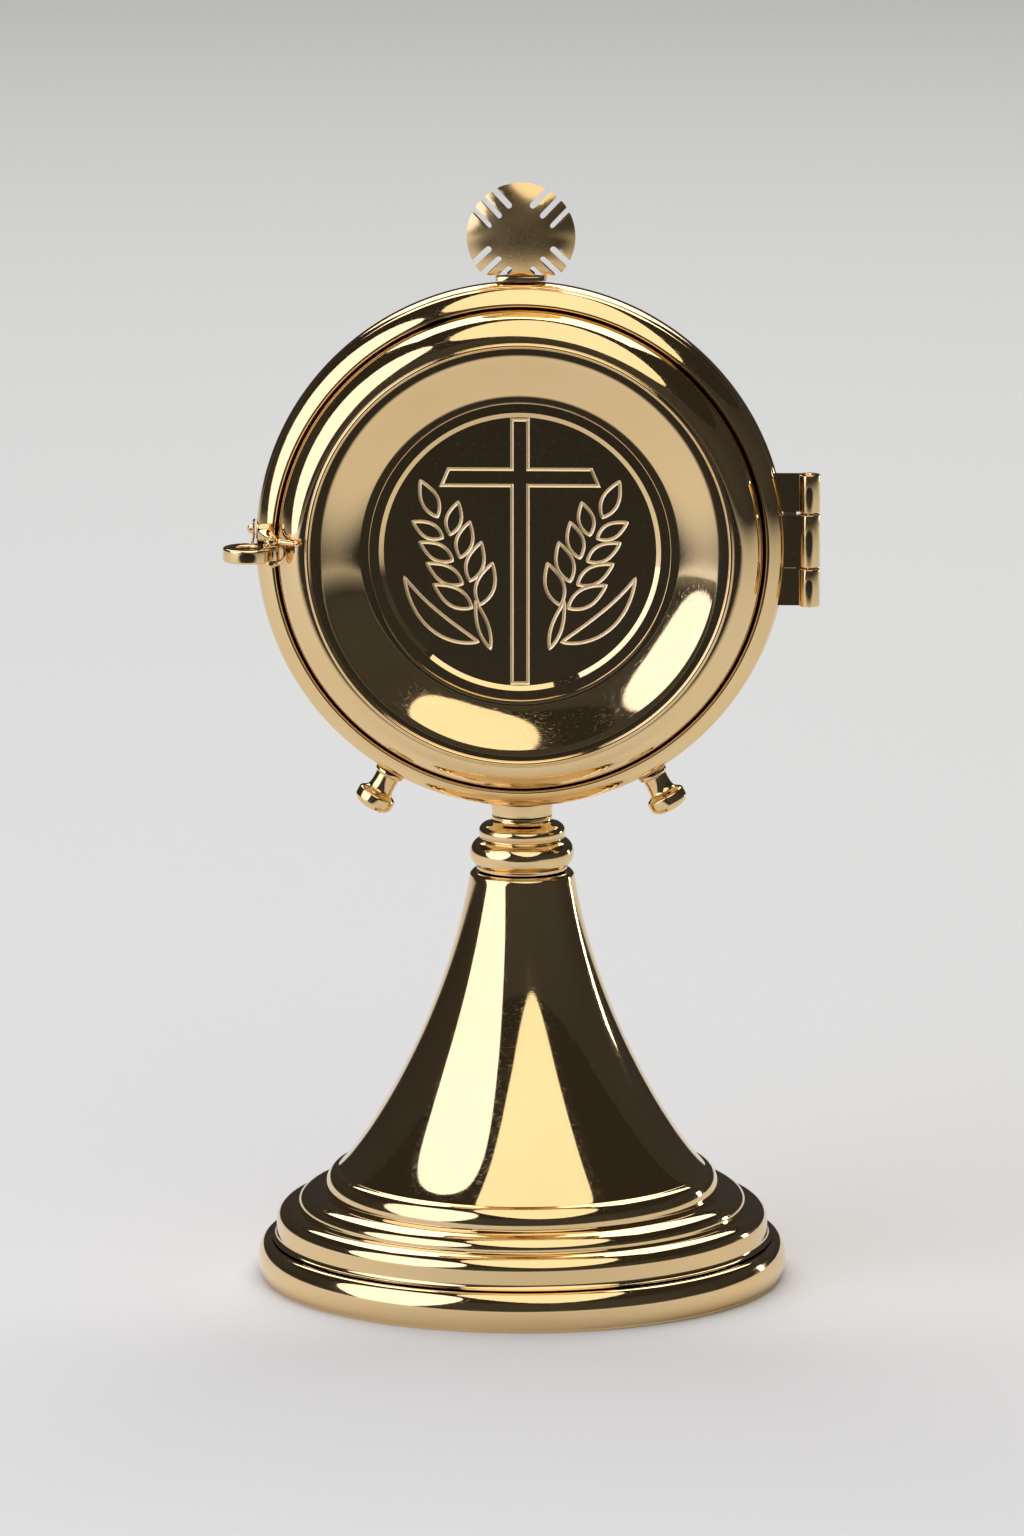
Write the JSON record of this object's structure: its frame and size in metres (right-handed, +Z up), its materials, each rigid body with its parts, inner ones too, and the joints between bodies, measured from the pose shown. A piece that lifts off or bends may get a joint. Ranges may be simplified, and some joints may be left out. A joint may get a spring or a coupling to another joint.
{
  "type": "lunette custodial",
  "caption": "Standing round gilt case for a lunette: hinged moulded door with an engraved cross roundel, ring catch, slotted disc finial, turned knop and flared foot.",
  "frame": {"origin": "on the table surface, under the foot's axis", "axes": "+Z up along the foot's axis, the case's axis along Y, the door faces -Y, its hinge at +X and the ring catch at -X"},
  "size_m": [0.1119, 0.1006, 0.2113],
  "materials": {
    "gilt": "gold plated, polished to a mirror",
    "gilt_mirror": "gold plated, mirror flat, engraved",
    "gilt_brushed": "gold plated, polished with a finely brushed centre",
    "gilt_satin": "gold plated, satin",
    "bare_brass": "turned brass, unplated"
  },
  "bodies": {
    "case": {"foot_rim": "gilt", "foot_shell": "gilt", "cup_washer": "bare_brass", "foot_nut": "bare_brass", "tie_rod": "bare_brass", "knop": "gilt", "collar": "gilt", "case_body": "gilt", "case_band": "gilt", "mouth_ring": "gilt_satin", "lunette_cradle": "gilt_satin", "finial_base": "gilt", "finial_disc": "gilt_brushed", "hinge_leaf_case": "gilt", "hinge_pin": "gilt", "catch_stud": "gilt", "knob_left": "gilt", "knob_right": "gilt"},
    "door": {"door_shell": "gilt", "door_roundel": "gilt_mirror", "roundel_retainer": "bare_brass", "hinge_leaf_door": "gilt", "catch_bracket": "gilt", "catch_pin": "gilt"},
    "catch": {"catch_lever": "gilt"}
  },
  "joints": [
    {"name": "door_hinge", "type": "hinge", "parent": "case", "child": "door", "pos_m": [0.0543, -0.00915, 0.14395], "axis": [0, 0, 1], "range_deg": [0, 180]},
    {"name": "catch_pivot", "type": "hinge", "parent": "door", "child": "catch", "pos_m": [-0.0466, -0.01835, 0.1428], "axis": [0, 0, 1], "range_deg": [0, 50]}
  ]
}
